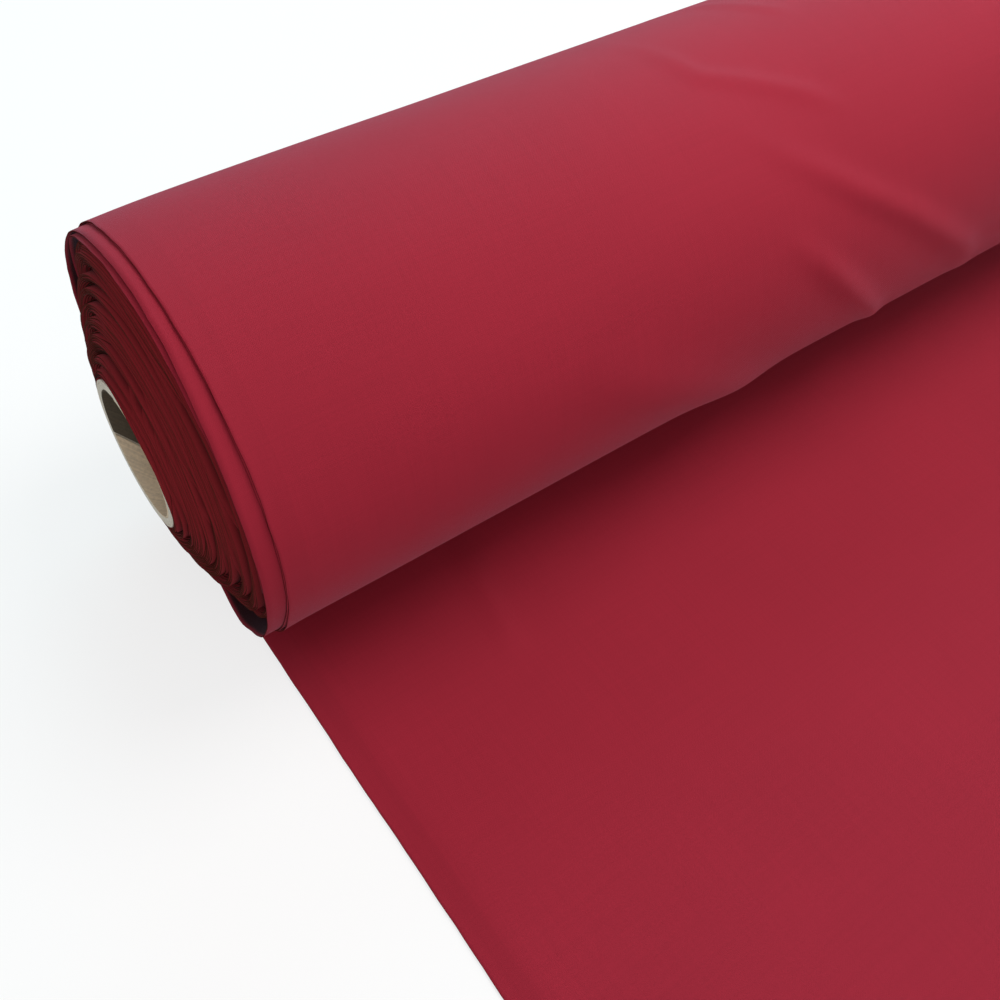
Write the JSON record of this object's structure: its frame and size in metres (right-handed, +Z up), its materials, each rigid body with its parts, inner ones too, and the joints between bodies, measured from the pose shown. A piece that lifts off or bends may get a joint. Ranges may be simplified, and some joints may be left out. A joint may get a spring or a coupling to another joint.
{
  "type": "fabric roll",
  "caption": "Full-width roll of plain woven cloth on a spiral-wound board tube, with its free end laid flat and its outermost turns hanging loose.",
  "frame": {"origin": "on the surface the cloth lies on, straight under the roll's axis, at the middle of the cloth's width", "axes": "+X along the roll, +Y from the free end of the cloth towards the roll's back, +Z up"},
  "size_m": [1.52, 0.6822, 0.1653],
  "materials": {
    "wine_red_cloth": "smooth close plain weave with a faint sheen",
    "kraft_board": "matt grey-brown board",
    "cream_board": "matt cream facing board",
    "clear_tape": "thin double-sided tape"
  },
  "bodies": {
    "laid_end": {"laid_cloth": "wine_red_cloth"},
    "loose_turns": {"outer_turn": "wine_red_cloth", "second_turn": "wine_red_cloth", "third_turn": "wine_red_cloth"},
    "wound_roll": {"tube_liner_ply": "kraft_board", "tube_body": "kraft_board", "tube_outer_ply": "cream_board", "start_tape_left": "clear_tape", "start_tape_middle": "clear_tape", "start_tape_right": "clear_tape", "wound_turns": "wine_red_cloth"}
  },
  "joints": [
    {"name": "roll_travel", "type": "slide", "parent": "laid_end", "child": "loose_turns", "axis": [0, 1, 0], "range_m": [-0.3, 0.5]},
    {"name": "roll_turn", "type": "hinge", "parent": "loose_turns", "child": "wound_roll", "pos_m": [0, 0, 0.0833], "axis": [1, 0, 0], "range_deg": [-360, 360]}
  ],
  "couplings": [
    {"joint": "roll_turn", "follows": "roll_travel", "rad_per_m": -12.005}
  ]
}
